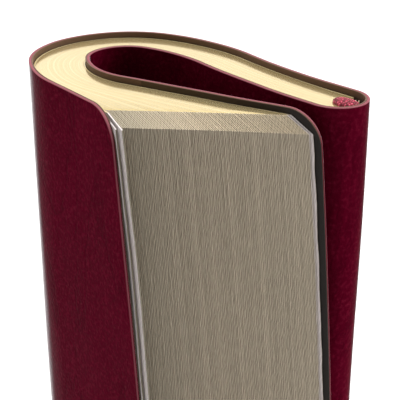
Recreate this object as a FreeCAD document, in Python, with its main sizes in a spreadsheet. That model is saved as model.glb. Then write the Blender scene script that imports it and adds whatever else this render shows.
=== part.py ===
import FreeCAD, Part
import math
import os
import Sketcher
from FreeCAD import Placement, Rotation, Vector

# A limp-leather pocket notebook, bent back on itself and stood on its tail.
# Frame: +Z up, origin on the table under the middle of the bent notebook.
# Seen from above, every layer (leather, lining, flyleaf, gathering) is a strip between
# two concentric curves.  A layer's "offset" is its distance from the middle of the
# thickness: negative towards the hollow inside the bend, positive towards the outside.

DIMENSIONS = [
    # name, value (mm or degrees)
    ("cover_height", 142.0),
    ("head_inset", 0.85),
    ("leather_thick", 0.40),
    ("lining_thick", 0.20),
    ("flyleaf_thick", 0.20),
    ("gathering_thick", 0.7725),
    ("layer_gap", 0.05),
    ("spine_x", 18.263),
    ("spine_y", -8.962),
    ("spine_heading", 133.74),
    ("back_sweep_radius", 116.126),
    ("back_sweep_turn", 10.78),
    ("shoulder_radius", 25.334),
    ("shoulder_turn", 30.03),
    ("bend_radius", 9.104),
    ("bend_turn", 121.01),
    ("leg_radius", 15.024),
    ("back_leg_heading", 329.8),
    ("front_leg_heading", 306.4),
    ("fan_power", 1.7),
    ("hinge_stagger", 3.0),
    ("hinge_gap", 0.1),
    ("back_cover_reach", 28.4),
    ("front_cover_reach", 15.2),
    ("fore_line_x", -9.771),
    ("fore_line_y", -11.382),
    ("fore_line_heading", -4.73),
    ("back_lean", 0.10),
    ("front_lean", 0.135),
    ("cover_corner", 4.3),
    ("leaf_clip_along", 2.9),
    ("leaf_clip_down", 2.0),
    ("spine_round_radius", 4.6),
    ("spine_crown", 1.4),
    ("spine_half_angle", 35.0),
    ("thread_dia", 0.24),
    ("glue_thick", 0.12),
    ("mull_thick", 0.15),
    ("liner_thick", 0.20),
    ("mull_margin", 8.0),
    ("band_length", 3.8),
    ("band_width", 2.4),
    ("band_bead", 0.75),
    ("band_offset", 0.65),
    ("band_setback", 1.1),
]
GATHERINGS = 8
THREAD_STATIONS = (12.0, 42.0, 71.0, 100.0, 130.0)

doc = FreeCAD.newDocument("PocketNotebook")
sheet = doc.addObject("Spreadsheet::Sheet", "Dims")
for row, (alias, value) in enumerate(DIMENSIONS, start=1):
    sheet.set("A%d" % row, alias)
    sheet.set("B%d" % row, "%g" % value)
    sheet.setAlias("B%d" % row, alias)
doc.recompute()
dim = {alias: float(sheet.get(alias)) for alias, _ in DIMENSIONS}

# ---------------------------------------------------------------- layers across the book
SKIN = "Dims.leather_thick + Dims.lining_thick"
HALF = "(%s + Dims.layer_gap + Dims.flyleaf_thick" % SKIN
HALF += " + %g * Dims.gathering_thick + %g * Dims.layer_gap)" % (GATHERINGS / 2, (GATHERINGS + 1) / 2)


def cell_value(text):
    """Value of an expression written with the sheet's aliases."""
    for alias in sorted(dim, key=len, reverse=True):
        text = text.replace("Dims." + alias, str(dim[alias]))
    return FreeCAD.Units.Quantity("(%s) mm" % text).Value


def layer_stack():
    """List of (name, inner offset, outer offset), from the hollow outwards."""
    parts = [("back_leather", "leather_thick"), ("back_lining", "lining_thick")]
    parts += [("gap", "layer_gap"), ("back_flyleaf", "flyleaf_thick"), ("gap", "layer_gap")]
    for number in range(1, GATHERINGS + 1):
        parts += [("gathering_%d" % number, "gathering_thick"), ("gap", "layer_gap")]
    parts += [("front_flyleaf", "flyleaf_thick"), ("gap", "layer_gap")]
    parts += [("front_lining", "lining_thick"), ("front_leather", "leather_thick")]
    stack = {}
    where = "-" + HALF
    for name, alias in parts:
        outer = where + " + Dims." + alias
        if name != "gap":
            stack[name] = (where, outer)
        where = outer
    return stack


STACK = layer_stack()
HALF_VALUE = cell_value(HALF)
BLOCK_HALF = HALF_VALUE - dim["leather_thick"] - dim["lining_thick"]


def rank(offset):
    """0 for a layer that lies on the back cover, 1 for one that lies on the front cover."""
    return min(1.0, max(0.0, (offset + BLOCK_HALF) / (2 * BLOCK_HALF)))


def leg_heading(name):
    """Direction in which a layer leaves the bend; the leaves fan towards the front cover."""
    inner, outer = STACK[name]
    share = rank((cell_value(inner) + cell_value(outer)) / 2) ** dim["fan_power"]
    if name.startswith("front_l"):
        share = 1.0
    return dim["back_leg_heading"] + share * (dim["front_leg_heading"] - dim["back_leg_heading"])


def hinge_start(name):
    """Length of straight layer between the end of the bend and the free part's hinge."""
    inner, outer = STACK[name]
    return dim["hinge_stagger"] * (1 - rank((cell_value(inner) + cell_value(outer)) / 2))


# ---------------------------------------------------------------- curve that the book follows
def turned(point, heading, radius, turn):
    """Centre, end point and end heading of an arc; radius and turn are negative to the right."""
    angle = math.radians(heading)
    centre = Vector(point.x - radius * math.sin(angle), point.y + radius * math.cos(angle), 0)
    angle = math.radians(heading + turn)
    end = Vector(centre.x + radius * math.sin(angle), centre.y - radius * math.cos(angle), 0)
    return centre, end, heading + turn


SPINE = Vector(dim["spine_x"], dim["spine_y"], 0)


def book_arcs(last_heading):
    """The four arcs of the middle line: (centre, signed radius, start heading, turn)."""
    arcs = []
    point, heading = SPINE, dim["spine_heading"]
    steps = [
        (-dim["back_sweep_radius"], -dim["back_sweep_turn"]),
        (dim["shoulder_radius"], dim["shoulder_turn"]),
        (dim["bend_radius"], dim["bend_turn"]),
    ]
    for radius, turn in steps:
        centre, end, after = turned(point, heading, radius, turn)
        arcs.append((centre, radius, heading, turn))
        point, heading = end, after
    centre, end, after = turned(point, heading, dim["leg_radius"], last_heading - heading)
    arcs.append((centre, dim["leg_radius"], heading, last_heading - heading))
    return arcs


def leg_root(name, along):
    """Point on a layer's inner face, at a distance past the end of the bend."""
    heading = leg_heading(name)
    centre, radius, _, _ = book_arcs(heading)[3]
    angle = math.radians(heading)
    reach = radius + cell_value(STACK[name][0])
    root = Vector(centre.x + reach * math.sin(angle), centre.y - reach * math.cos(angle), 0)
    return root + Vector(math.cos(angle), math.sin(angle), 0) * along


def reach_to_fore_line(name):
    """Distance from the end of the bend to the line along which the leaves are trimmed."""
    root = leg_root(name, 0)
    angle = math.radians(leg_heading(name))
    line = math.radians(dim["fore_line_heading"])
    normal = Vector(-math.sin(line), math.cos(line), 0)
    away = Vector(dim["fore_line_x"], dim["fore_line_y"], 0) - root
    return away.dot(normal) / Vector(math.cos(angle), math.sin(angle), 0).dot(normal)


# ---------------------------------------------------------------- sketch helpers
def new_body(name, plane_role):
    """A body with one sketch on one of its own origin planes."""
    body = doc.addObject("PartDesign::Body", name)
    body.Label = name
    plane = [item for item in body.Origin.OriginFeatures if item.Role == plane_role][0]
    sketch = body.newObject("Sketcher::SketchObject", name + "_outline")
    sketch.AttachmentSupport = [(plane, "")]
    sketch.MapMode = "FlatFace"
    return body, sketch


def bind(sketch, kind, *args, to=None):
    """Add a constraint and, if asked, bind its value to the sheet."""
    index = sketch.addConstraint(Sketcher.Constraint(kind, *args))
    if to is not None:
        sketch.setExpression("Constraints[%d]" % index, to)
    return index


TURN_CELLS = ("back_sweep_turn", "shoulder_turn", "bend_turn")


def add_chain(sketch, offset_text, last_heading, anchor=None):
    """Four tangent arcs at one offset; returns the (geometry, point) of both ends.

    anchor is the (geometry, point) that the chain starts from, or None to start it at
    the spine with its own coordinates.
    """
    offset = cell_value(offset_text)
    ends = []
    for index, (centre, radius, heading, turn) in enumerate(book_arcs(last_heading)):
        size = abs(radius + offset)
        side = -90 if radius > 0 else 90
        begin = math.radians(heading + side)
        finish = math.radians(heading + turn + side)
        circle = Part.Circle(centre, Vector(0, 0, 1), size)
        arc = Part.ArcOfCircle(circle, min(begin, finish), max(begin, finish))
        shape = sketch.addGeometry(arc, False)
        first, last = (1, 2) if turn > 0 else (2, 1)
        if index == 0:
            tilt = "(Dims.spine_heading * 1deg)"
            if anchor is None:
                across = "Dims.spine_x + (%s) * sin%s" % (offset_text, tilt)
                away = "Dims.spine_y - (%s) * cos%s" % (offset_text, tilt)
                start = centre + Vector(math.cos(begin), math.sin(begin), 0) * size
                bind(sketch, "DistanceX", -1, 1, shape, first, start.x, to=across)
                bind(sketch, "DistanceY", -1, 1, shape, first, start.y, to=away)
            else:
                bind(sketch, "Coincident", anchor[0], anchor[1], shape, first)
            across = "Dims.spine_x + Dims.back_sweep_radius * sin" + tilt
            away = "Dims.spine_y - Dims.back_sweep_radius * cos" + tilt
            bind(sketch, "DistanceX", -1, 1, shape, 3, centre.x, to=across)
            bind(sketch, "DistanceY", -1, 1, shape, 3, centre.y, to=away)
        else:
            bind(sketch, "Tangent", ends[-1][0], ends[-1][1], shape, first)
            size_text = "Dims.%s + %s"
            size_cell = ("", "shoulder_radius", "bend_radius", "leg_radius")[index]
            bind(sketch, "Radius", shape, size, to=size_text % (size_cell, offset_text))
        if index < 3:
            bind(sketch, "Angle", shape, math.radians(abs(turn)), to="Dims." + TURN_CELLS[index])
        else:
            bind(sketch, "Angle", shape, math.radians(abs(turn)))
        if index == 0:
            ends.append((shape, first))
        ends.append((shape, last))
    return ends[0], ends[-1]


def add_run(sketch, end, start_point, direction, length, to=None):
    """A straight line that leaves an arc's end tangentially."""
    line = Part.LineSegment(start_point, start_point + direction * length)
    shape = sketch.addGeometry(line, False)
    bind(sketch, "Tangent", end[0], end[1], shape, 1)
    bind(sketch, "Distance", shape, length, to=to)
    return shape, 2


def close_with_line(sketch, first, second):
    """A straight line between the ends of two curves."""
    start = sketch.getPoint(*first)
    finish = sketch.getPoint(*second)
    shape = sketch.addGeometry(Part.LineSegment(start, finish), False)
    bind(sketch, "Coincident", first[0], first[1], shape, 1)
    bind(sketch, "Coincident", second[0], second[1], shape, 2)


def run_to_hinge(sketch, name, end):
    """The straight stretch between the bend and the hinge of a layer's free part."""
    angle = math.radians(leg_heading(name))
    direction = Vector(math.cos(angle), math.sin(angle), 0)
    length = hinge_start(name)
    if length < 0.01:
        return end
    return add_run(sketch, end, sketch.getPoint(*end), direction, length)


def pad(body, sketch, name, length, to):
    """Pad a sketch by a length that is bound to the sheet."""
    feature = body.newObject("PartDesign::Pad", name)
    feature.Profile = sketch
    feature.Length = length
    feature.setExpression("Length", to)
    sketch.Visibility = False
    return feature


LEAF_HEIGHT = "Dims.cover_height - 2 * Dims.head_inset"


# ---------------------------------------------------------------- layers round the bend
def leather_wrap(name, back, front, outside, inside):
    """One sheet round the whole notebook: back leg, bend, spine, bend and front leg."""
    body, sketch = new_body(name, "XY_Plane")
    ends = {}
    for face, back_offset, front_offset in outside, inside:
        spine_text = front_offset
        angle = math.radians(dim["spine_heading"])
        size = cell_value(front_offset)
        circle = Part.Circle(SPINE, Vector(0, 0, 1), size)
        half = Part.ArcOfCircle(circle, angle + math.pi / 2, angle + 1.5 * math.pi)
        shape = sketch.addGeometry(half, False)
        bind(sketch, "DistanceX", -1, 1, shape, 3, SPINE.x, to="Dims.spine_x")
        bind(sketch, "DistanceY", -1, 1, shape, 3, SPINE.y, to="Dims.spine_y")
        bind(sketch, "Radius", shape, size, to=spine_text)
        bind(sketch, "Angle", shape, math.pi)
        tilt = "(Dims.spine_heading * 1deg)"
        start = sketch.getPoint(shape, 2)
        across = "Dims.spine_x + (%s) * sin%s" % (spine_text, tilt)
        bind(sketch, "DistanceX", -1, 1, shape, 2, start.x, to=across)
        back_start = add_chain(sketch, back_offset, leg_heading(back), anchor=(shape, 1))
        front_start = add_chain(sketch, front_offset, leg_heading(front), anchor=(shape, 2))
        ends[face] = (run_to_hinge(sketch, back, back_start[1]), run_to_hinge(sketch, front, front_start[1]))
    close_with_line(sketch, ends["outside"][0], ends["inside"][0])
    close_with_line(sketch, ends["outside"][1], ends["inside"][1])
    pad(body, sketch, name + "_pad", dim["cover_height"], "Dims.cover_height")
    return body


def flat_layer(name, label):
    """A flyleaf's part from the spine round the bend to its hinge."""
    body, sketch = new_body(label, "XY_Plane")
    inner, outer = STACK[name]
    heading = leg_heading(name)
    inner_ends = add_chain(sketch, inner, heading)
    outer_ends = add_chain(sketch, outer, heading)
    close_with_line(sketch, inner_ends[0], outer_ends[0])
    inner_end = run_to_hinge(sketch, name, inner_ends[1])
    outer_end = run_to_hinge(sketch, name, outer_ends[1])
    close_with_line(sketch, inner_end, outer_end)
    pad(body, sketch, label + "_pad", cell_value(LEAF_HEIGHT), LEAF_HEIGHT)
    body.setExpression("Placement.Base.z", "Dims.head_inset")
    return body


def folded_gathering(name, label):
    """Twelve leaves folded and sewn as one: rounded at the spine, then round the bend."""
    body, sketch = new_body(label, "XY_Plane")
    inner, outer = STACK[name]
    heading = leg_heading(name)
    middle = "(%s + %s) / 2" % (inner, outer)
    behind = "sqrt(Dims.spine_round_radius ^ 2 - (%s) ^ 2) - Dims.spine_round_radius" % middle
    behind += " + Dims.spine_crown - Dims.gathering_thick / 2"
    radius = dim["spine_round_radius"]
    length = math.sqrt(radius ** 2 - cell_value(middle) ** 2) - radius
    length += dim["spine_crown"] - dim["gathering_thick"] / 2
    angle = math.radians(dim["spine_heading"])
    backward = Vector(-math.cos(angle), -math.sin(angle), 0)
    inner_ends = add_chain(sketch, inner, heading)
    outer_ends = add_chain(sketch, outer, heading)
    fold = []
    for ends in inner_ends, outer_ends:
        start = sketch.getPoint(*ends[0])
        if length > 0.02:
            fold.append(add_run(sketch, ends[0], start, backward, length, to=behind))
        else:
            fold.append(ends[0])
    centre = (sketch.getPoint(*fold[0]) + sketch.getPoint(*fold[1])) * 0.5
    circle = Part.Circle(centre, Vector(0, 0, 1), dim["gathering_thick"] / 2)
    arc = Part.ArcOfCircle(circle, angle + math.pi / 2, angle + 1.5 * math.pi)
    shape = sketch.addGeometry(arc, False)
    bind(sketch, "Tangent", fold[0][0], fold[0][1], shape, 1)
    bind(sketch, "Coincident", fold[1][0], fold[1][1], shape, 2)
    inner_end = run_to_hinge(sketch, name, inner_ends[1])
    outer_end = run_to_hinge(sketch, name, outer_ends[1])
    close_with_line(sketch, inner_end, outer_end)
    pad(body, sketch, label + "_pad", cell_value(LEAF_HEIGHT), LEAF_HEIGHT)
    body.setExpression("Placement.Base.z", "Dims.head_inset")
    return body


# ---------------------------------------------------------------- free parts past the hinges
def fore_edge(reach, lean, height):
    """Arc of the fore edge: upright at the tail, leaning back by `lean` at the head."""
    shift = lean * height / 2
    radius = (shift ** 2 + height ** 2) / (2 * shift)
    centre = Vector(reach + shift - radius, 0, 0)
    return centre, radius, shift


def fore_point(centre, radius, level):
    """Point of the fore edge at a level above the tail."""
    return Vector(centre.x + math.sqrt(radius ** 2 - level ** 2), level, 0)


def edge_lean(name):
    """Lean of a layer's fore edge at the head."""
    inner, outer = STACK[name]
    share = rank((cell_value(inner) + cell_value(outer)) / 2)
    return dim["back_lean"] + share * (dim["front_lean"] - dim["back_lean"])


def place_on_leg(body, name, level):
    """Stand a free part at its hinge, along its layer's direction."""
    root = leg_root(name, 0)
    base = Vector(root.x, root.y, level)
    body.Placement = Placement(base, Rotation(Vector(0, 0, 1), leg_heading(name)))


def free_outline(sketch, start, height, reach, lean, clip_along, clip_down, height_text):
    """Outline of a free part in its own plane, corners clipped when clip_along > 0."""
    centre, radius, shift = fore_edge(reach, lean, height)
    low = fore_point(centre, radius, clip_down)
    high = fore_point(centre, radius, height - clip_down)
    if clip_along > 0:
        corners = [
            Vector(start, 0, 0),
            Vector(low.x - clip_along, 0, 0),
            low,
            high,
            Vector(reach - clip_along, height, 0),
            Vector(start, height, 0),
        ]
    else:
        corners = [Vector(start, 0, 0), fore_point(centre, radius, 0), high, Vector(start, height, 0)]
    count = len(corners)
    arc_index = count // 2 - 1
    shapes = []
    for index in range(count):
        first, second = corners[index], corners[(index + 1) % count]
        if index == arc_index:
            middle = fore_point(centre, radius, (first.y + second.y) / 2)
            curve = Part.Arc(first, middle, second)
        else:
            curve = Part.LineSegment(first, second)
        shapes.append(sketch.addGeometry(curve, False))
    for index in range(count):
        after = (index + 1) % count
        bind(sketch, "Coincident", shapes[index], 2, shapes[after], 1)
    root_side = shapes[-1]
    bind(sketch, "Horizontal", shapes[0])
    bind(sketch, "Horizontal", shapes[count - 2])
    bind(sketch, "DistanceX", -1, 1, root_side, 2, start)
    bind(sketch, "DistanceY", root_side, 2, root_side, 1, height, to=height_text)
    bind(sketch, "Vertical", root_side)
    bind(sketch, "DistanceY", -1, 1, root_side, 2, 0)
    bind(sketch, "Radius", shapes[arc_index], radius)
    bind(sketch, "DistanceX", -1, 1, shapes[arc_index], 3, centre.x)
    bind(sketch, "DistanceY", -1, 1, shapes[arc_index], 3, 0)
    if clip_along > 0:
        down = "Dims.leaf_clip_down"
        along = "Dims.leaf_clip_along"
        bind(sketch, "DistanceY", shapes[1], 1, shapes[1], 2, clip_down, to=down)
        bind(sketch, "DistanceY", shapes[3], 1, shapes[3], 2, clip_down, to=down)
        bind(sketch, "DistanceX", shapes[1], 1, shapes[1], 2, clip_along, to=along)
        bind(sketch, "DistanceX", -1, 1, shapes[3], 2, reach - clip_along)


def free_cover(name, label, reach):
    """Free end of one of the cover's sheets, with its two rounded corners."""
    body, sketch = new_body(label, "XZ_Plane")
    inner, outer = STACK[name]
    start = hinge_start(name) + dim["hinge_gap"]
    height = dim["cover_height"]
    free_outline(sketch, start, height, reach, edge_lean(name), 0, 0, "Dims.cover_height")
    thick = "%s_thick" % name.split("_")[1]
    feature = pad(body, sketch, label + "_pad", dim[thick], "Dims." + thick)
    doc.recompute()
    corners = []
    for number, edge in enumerate(feature.Shape.Edges, start=1):
        ends = [vertex.Point for vertex in edge.Vertexes]
        along_y = len(ends) == 2 and abs(ends[0].y - ends[1].y) > dim[thick] * 0.9
        if along_y and ends[0].x > start + 1:
            corners.append("Edge%d" % number)
    rounding = body.newObject("PartDesign::Fillet", label + "_corners")
    rounding.Base = (feature, corners)
    rounding.Radius = dim["cover_corner"]
    rounding.setExpression("Radius", "Dims.cover_corner")
    place_on_leg(body, name, 0)
    return body


def free_leaves(name, label, thick):
    """Free end of a gathering or a flyleaf, with its two clipped corners."""
    body, sketch = new_body(label, "XZ_Plane")
    start = hinge_start(name) + dim["hinge_gap"]
    height = cell_value(LEAF_HEIGHT)
    reach = reach_to_fore_line(name) + dim["leaf_clip_along"]
    clip = dim["leaf_clip_along"], dim["leaf_clip_down"]
    free_outline(sketch, start, height, reach, edge_lean(name), clip[0], clip[1], LEAF_HEIGHT)
    pad(body, sketch, label + "_pad", dim[thick], "Dims." + thick)
    place_on_leg(body, name, dim["head_inset"])
    return body


# ---------------------------------------------------------------- what holds the spine
def spine_frame():
    """Centre of the rounded spine and the angle of its middle, seen from that centre."""
    angle = math.radians(dim["spine_heading"])
    depth = dim["spine_round_radius"] - dim["spine_crown"]
    centre = SPINE + Vector(math.cos(angle), math.sin(angle), 0) * depth
    return centre, angle + math.pi


def spine_strip(label, inner_text, thick_alias, low_text, height_text):
    """A strip glued along the rounded spine: a sector of a ring."""
    body, sketch = new_body(label, "XY_Plane")
    centre, middle = spine_frame()
    spread = math.radians(dim["spine_half_angle"])
    inner = cell_value(inner_text)
    outer_text = "%s + Dims.%s" % (inner_text, thick_alias)
    shapes = []
    for radius, text in (inner, inner_text), (cell_value(outer_text), outer_text):
        circle = Part.Circle(centre, Vector(0, 0, 1), radius)
        arc = Part.ArcOfCircle(circle, middle - spread, middle + spread)
        shapes.append(sketch.addGeometry(arc, False))
        bind(sketch, "Radius", shapes[-1], radius, to=text)
    close_with_line(sketch, (shapes[0], 1), (shapes[1], 1))
    close_with_line(sketch, (shapes[0], 2), (shapes[1], 2))
    pad(body, sketch, label + "_pad", cell_value(height_text), height_text)
    body.setExpression("Placement.Base.z", low_text)
    return body


def sewing_thread(number, level):
    """One pass of the sewing thread across the folds at a sewing station."""
    label = "sewing_thread_%d" % number
    centre, middle = spine_frame()
    ring = doc.addObject("Part::Torus", label)
    ring.Label = label
    ring.setExpression("Radius1", "Dims.spine_round_radius + Dims.thread_dia * 0.65")
    ring.setExpression("Radius2", "Dims.thread_dia / 2")
    ring.Angle3 = 2 * dim["spine_half_angle"]
    ring.setExpression("Angle3", "2 * Dims.spine_half_angle * 1deg")
    turn = math.degrees(middle) - dim["spine_half_angle"]
    ring.Placement = Placement(Vector(centre.x, centre.y, level), Rotation(Vector(0, 0, 1), turn))
    return ring


def head_or_tail_band(label, at_head):
    """Rolled cloth band on the end of the spine, with the strip that is glued behind it."""
    body, sketch = new_body(label, "XY_Plane")
    angle = math.radians(dim["spine_heading"])
    backward = Vector(-math.cos(angle), -math.sin(angle), 0)
    outward = Vector(math.sin(angle), -math.cos(angle), 0)
    middle = SPINE + backward * dim["band_setback"] + outward * dim["band_offset"]
    ellipse = Part.Ellipse(
        middle + backward * (dim["band_length"] / 2),
        middle + outward * (dim["band_width"] / 2),
        middle,
    )
    shape = sketch.addGeometry(ellipse, False)
    sketch.exposeInternalGeometry(shape)
    bead = pad(body, sketch, label + "_bead", dim["band_bead"], "Dims.band_bead")
    doc.recompute()
    rim = []
    for number, edge in enumerate(bead.Shape.Edges, start=1):
        level = edge.CenterOfMass.z
        on_top = level > 0.5 * dim["band_bead"]
        if edge.Length > 1 and abs(edge.BoundBox.ZLength) < 0.01 and on_top == at_head:
            rim.append("Edge%d" % number)
    rounding = body.newObject("PartDesign::Fillet", label + "_roll")
    rounding.Base = (bead, rim)
    rounding.Radius = 0.6 * dim["band_bead"]
    level = dim["cover_height"] - dim["head_inset"] + 0.02
    if not at_head:
        level = dim["head_inset"] - 0.02 - dim["band_bead"]
    body.Placement = Placement(Vector(0, 0, level), Rotation())
    return body


# ---------------------------------------------------------------- build every piece
nodes = []
back_in, back_out = STACK["back_leather"]
nodes.append(
    leather_wrap(
        "cover_leather",
        "back_leather",
        "front_leather",
        ("outside", back_in, STACK["front_leather"][1]),
        ("inside", back_out, STACK["front_leather"][0]),
    )
)
nodes.append(
    leather_wrap(
        "cover_lining",
        "back_lining",
        "front_lining",
        ("outside", STACK["back_lining"][0], STACK["front_lining"][1]),
        ("inside", STACK["back_lining"][1], STACK["front_lining"][0]),
    )
)
for side in "back", "front":
    reach = dim[side + "_cover_reach"]
    nodes.append(free_cover(side + "_leather", side + "_cover_leather_edge", reach))
    nodes.append(free_cover(side + "_lining", side + "_cover_lining_edge", reach))
    nodes.append(flat_layer(side + "_flyleaf", side + "_flyleaf_bend"))
    nodes.append(free_leaves(side + "_flyleaf", side + "_flyleaf_edge", "flyleaf_thick"))
for number in range(1, GATHERINGS + 1):
    name = "gathering_%d" % number
    nodes.append(folded_gathering(name, name + "_fold"))
    nodes.append(free_leaves(name, name + "_leaves", "gathering_thick"))

ON_THREAD = "Dims.spine_round_radius + Dims.thread_dia * 1.25"
MARGIN = "Dims.head_inset + Dims.mull_margin"
STRIP = "Dims.cover_height - 2 * Dims.head_inset - 2 * Dims.mull_margin"
nodes.append(spine_strip("spine_glue", ON_THREAD, "glue_thick", "Dims.head_inset", LEAF_HEIGHT))
ON_GLUE = ON_THREAD + " + Dims.glue_thick + 0.05"
nodes.append(spine_strip("spine_mull", ON_GLUE, "mull_thick", MARGIN, STRIP))
ON_MULL = ON_GLUE + " + Dims.mull_thick + 0.05"
nodes.append(spine_strip("spine_liner", ON_MULL, "liner_thick", "Dims.head_inset", LEAF_HEIGHT))
for number, level in enumerate(THREAD_STATIONS, start=1):
    nodes.append(sewing_thread(number, level))
nodes.append(head_or_tail_band("headband", True))
nodes.append(head_or_tail_band("tailband", False))

doc.recompute()
for item in doc.Objects:
    if "Invalid" in item.State or "Error" in item.State:
        raise RuntimeError("%s failed: %s" % (item.Label, item.State))
for node in nodes:
    if node.Shape.isNull() or not node.Shape.isValid() or node.Shape.Volume <= 0:
        raise RuntimeError("%s has no sound shape" % node.Label)
    if len(node.Shape.Solids) != 1:
        raise RuntimeError("%s is not one solid" % node.Label)

os.makedirs("parts", exist_ok=True)
for node in nodes:
    node.Shape.exportStep("parts/%s.step" % node.Label)
print("%d nodes written" % len(nodes))
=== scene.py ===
"""Looks for the bent pocket notebook: leather, lining, flyleaves, ninety-six gilt leaves,
woven bands and what holds the spine."""

import bpy
import numpy as np
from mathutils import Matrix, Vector


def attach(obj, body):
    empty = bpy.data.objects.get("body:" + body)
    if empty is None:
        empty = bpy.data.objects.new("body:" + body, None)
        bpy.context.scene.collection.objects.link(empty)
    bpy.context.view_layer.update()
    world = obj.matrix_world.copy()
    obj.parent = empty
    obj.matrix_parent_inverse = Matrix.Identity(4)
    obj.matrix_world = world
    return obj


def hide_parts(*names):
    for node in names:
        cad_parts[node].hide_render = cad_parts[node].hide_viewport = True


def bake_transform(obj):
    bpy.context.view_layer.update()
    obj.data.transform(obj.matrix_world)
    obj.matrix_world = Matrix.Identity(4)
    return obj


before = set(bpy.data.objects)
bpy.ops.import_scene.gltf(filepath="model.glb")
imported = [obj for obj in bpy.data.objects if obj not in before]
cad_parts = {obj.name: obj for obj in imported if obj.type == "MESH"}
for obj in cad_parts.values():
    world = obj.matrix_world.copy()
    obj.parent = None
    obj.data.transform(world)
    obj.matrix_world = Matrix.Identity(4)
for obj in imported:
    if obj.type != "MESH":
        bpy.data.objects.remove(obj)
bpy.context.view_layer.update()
MM = 0.001
rng = np.random.default_rng(12)

# ---------------------------------------------------------------- sizes, in millimetres and degrees
COVER_HEIGHT = 142.0
HEAD_INSET = 0.85
LEAF_HEIGHT = COVER_HEIGHT - 2 * HEAD_INSET
LEATHER = 0.40
LINING = 0.20
FLYLEAF = 0.20
GATHERING = 0.7725
GAP = 0.05
PITCH = GATHERING + GAP
GATHERINGS = 8
LEAVES = 12
LEAF_PITCH = PITCH / LEAVES
HALF = LEATHER + LINING + FLYLEAF + 4 * GATHERING + 5.5 * GAP
BLOCK_HALF = HALF - LEATHER - LINING
PAPER_HALF = GATHERINGS / 2 * PITCH

SPINE = np.array([18.263, -8.962])
SPINE_HEADING = 133.74
BENDS = [(-116.126, -10.78), (25.334, 30.03), (9.104, 121.01)]
LEG_RADIUS = 15.024
BACK_HEADING = 329.8
FRONT_HEADING = 306.4
FAN_POWER = 1.7
HINGE_STAGGER = 3.0
BACK_REACH = 28.4
FRONT_REACH = 15.2
FORE_LINE = np.array([-9.771, -11.382])
FORE_HEADING = -4.73
BACK_LEAN = 0.10
FRONT_LEAN = 0.135
COVER_CORNER = 4.3
CLIP_ALONG = 2.9
CLIP_DOWN = 2.0
FRONT_CLIP_DOWN = 1.4
SPINE_ROUND = 4.6
SPINE_CROWN = 1.4
BAND_LENGTH = 3.8
BAND_WIDTH = 2.4
BAND_HEIGHT = 0.75
BAND_OFFSET = 0.65
BAND_SETBACK = 1.1
THREADS = 5

# sizes of what only the looks have
LEATHER_ROUNDING = 0.14
LINING_ROUNDING = 0.07
RIM_WIDTH = 0.12
ARC_POINTS = [17, 21, 55, 31]
LEAF_FILL = 0.97
LEAF_ROWS = 170
LEAF_RIPPLE = 0.012
EDGE_ROUGHNESS = 0.028
LEAF_ROUGHNESS = 0.012
THICKENING = 0.8
FLYLEAF_SHEET = 0.096
FLYLEAF_PARTING = 0.05
FLYLEAF_ROWS = 60
WEAVE_PITCH = 0.27
WEAVE_RELIEF = 0.10
BAND_LIFT = 0.025


# ---------------------------------------------------------------- the curve that every layer follows
def rank(offset):
    """0 on the back cover's lining, 1 on the front cover's."""
    return np.clip((offset + BLOCK_HALF) / (2 * BLOCK_HALF), 0.0, 1.0)


def leg_heading(offset):
    """Heading in which a layer leaves the bend: the back cover's, turned towards the
    front cover's by the layer's rank raised to a power."""
    turn = FRONT_HEADING - BACK_HEADING
    return BACK_HEADING + turn * rank(offset) ** FAN_POWER


def spreading(offset):
    """How fast neighbouring leaves part past the bend: the slope of leg_heading."""
    turn = np.radians(BACK_HEADING - FRONT_HEADING)
    return turn * FAN_POWER * rank(offset) ** (FAN_POWER - 1) / (2 * BLOCK_HALF)


def direction(heading):
    """Unit vector of a heading in degrees."""
    angle = np.radians(heading)
    return np.stack([np.cos(angle), np.sin(angle)], -1)


def arcs_to(heading):
    """Radius and turn of the four arcs that end in a heading."""
    turned = SPINE_HEADING + sum(turn for _, turn in BENDS)
    return BENDS + [(LEG_RADIUS, heading - turned)]


def bend_length(offset, heading):
    """Length of a layer from the spine to the end of the bend: each radius plus the
    offset, times its turn."""
    return sum(abs(radius + offset) * abs(np.radians(turn)) for radius, turn in arcs_to(heading))


def follow(offset, heading, distance):
    """Points and headings on a layer's curve.  Before the spine it runs straight; then it
    follows four tangent arcs, each with the radius of the middle line plus the layer's
    offset; past the last one it runs straight again along its leg."""
    distance = np.asarray(distance, float)
    angle = np.radians(SPINE_HEADING)
    middle = SPINE.copy()
    x = middle[0] + offset * np.sin(angle) + distance * np.cos(angle)
    y = middle[1] - offset * np.cos(angle) + distance * np.sin(angle)
    along = np.full(distance.shape, angle)
    start = 0.0
    for radius, turn in arcs_to(heading):
        turn = np.radians(turn)
        centre = middle + radius * np.array([-np.sin(angle), np.cos(angle)])
        size = radius + offset
        here = distance >= start
        local = angle + np.sign(turn) * (distance - start) / np.abs(size)
        x = np.where(here, centre[0] + size * np.sin(local), x)
        y = np.where(here, centre[1] - size * np.cos(local), y)
        along = np.where(here, local, along)
        angle = angle + turn
        middle = centre + radius * np.array([np.sin(angle), -np.cos(angle)])
        start = start + np.abs(size * turn)
    past = distance >= start
    end_x = middle[0] + offset * np.sin(angle)
    end_y = middle[1] - offset * np.cos(angle)
    x = np.where(past, end_x + (distance - start) * np.cos(angle), x)
    y = np.where(past, end_y + (distance - start) * np.sin(angle), y)
    along = np.where(past, angle, along)
    return x, y, along


def hinge(inner, thick, heading=None):
    """Where the free part of a layer begins, for a layer whose inner face is at the given
    offset: its point in plan and its direction."""
    middle = inner + thick / 2
    heading = leg_heading(middle) if heading is None else heading
    distance = bend_length(inner, heading) + HINGE_STAGGER * (1 - rank(middle))
    x, y, _ = follow(inner, heading, distance)
    return np.array([float(x), float(y)]), direction(heading)


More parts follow.
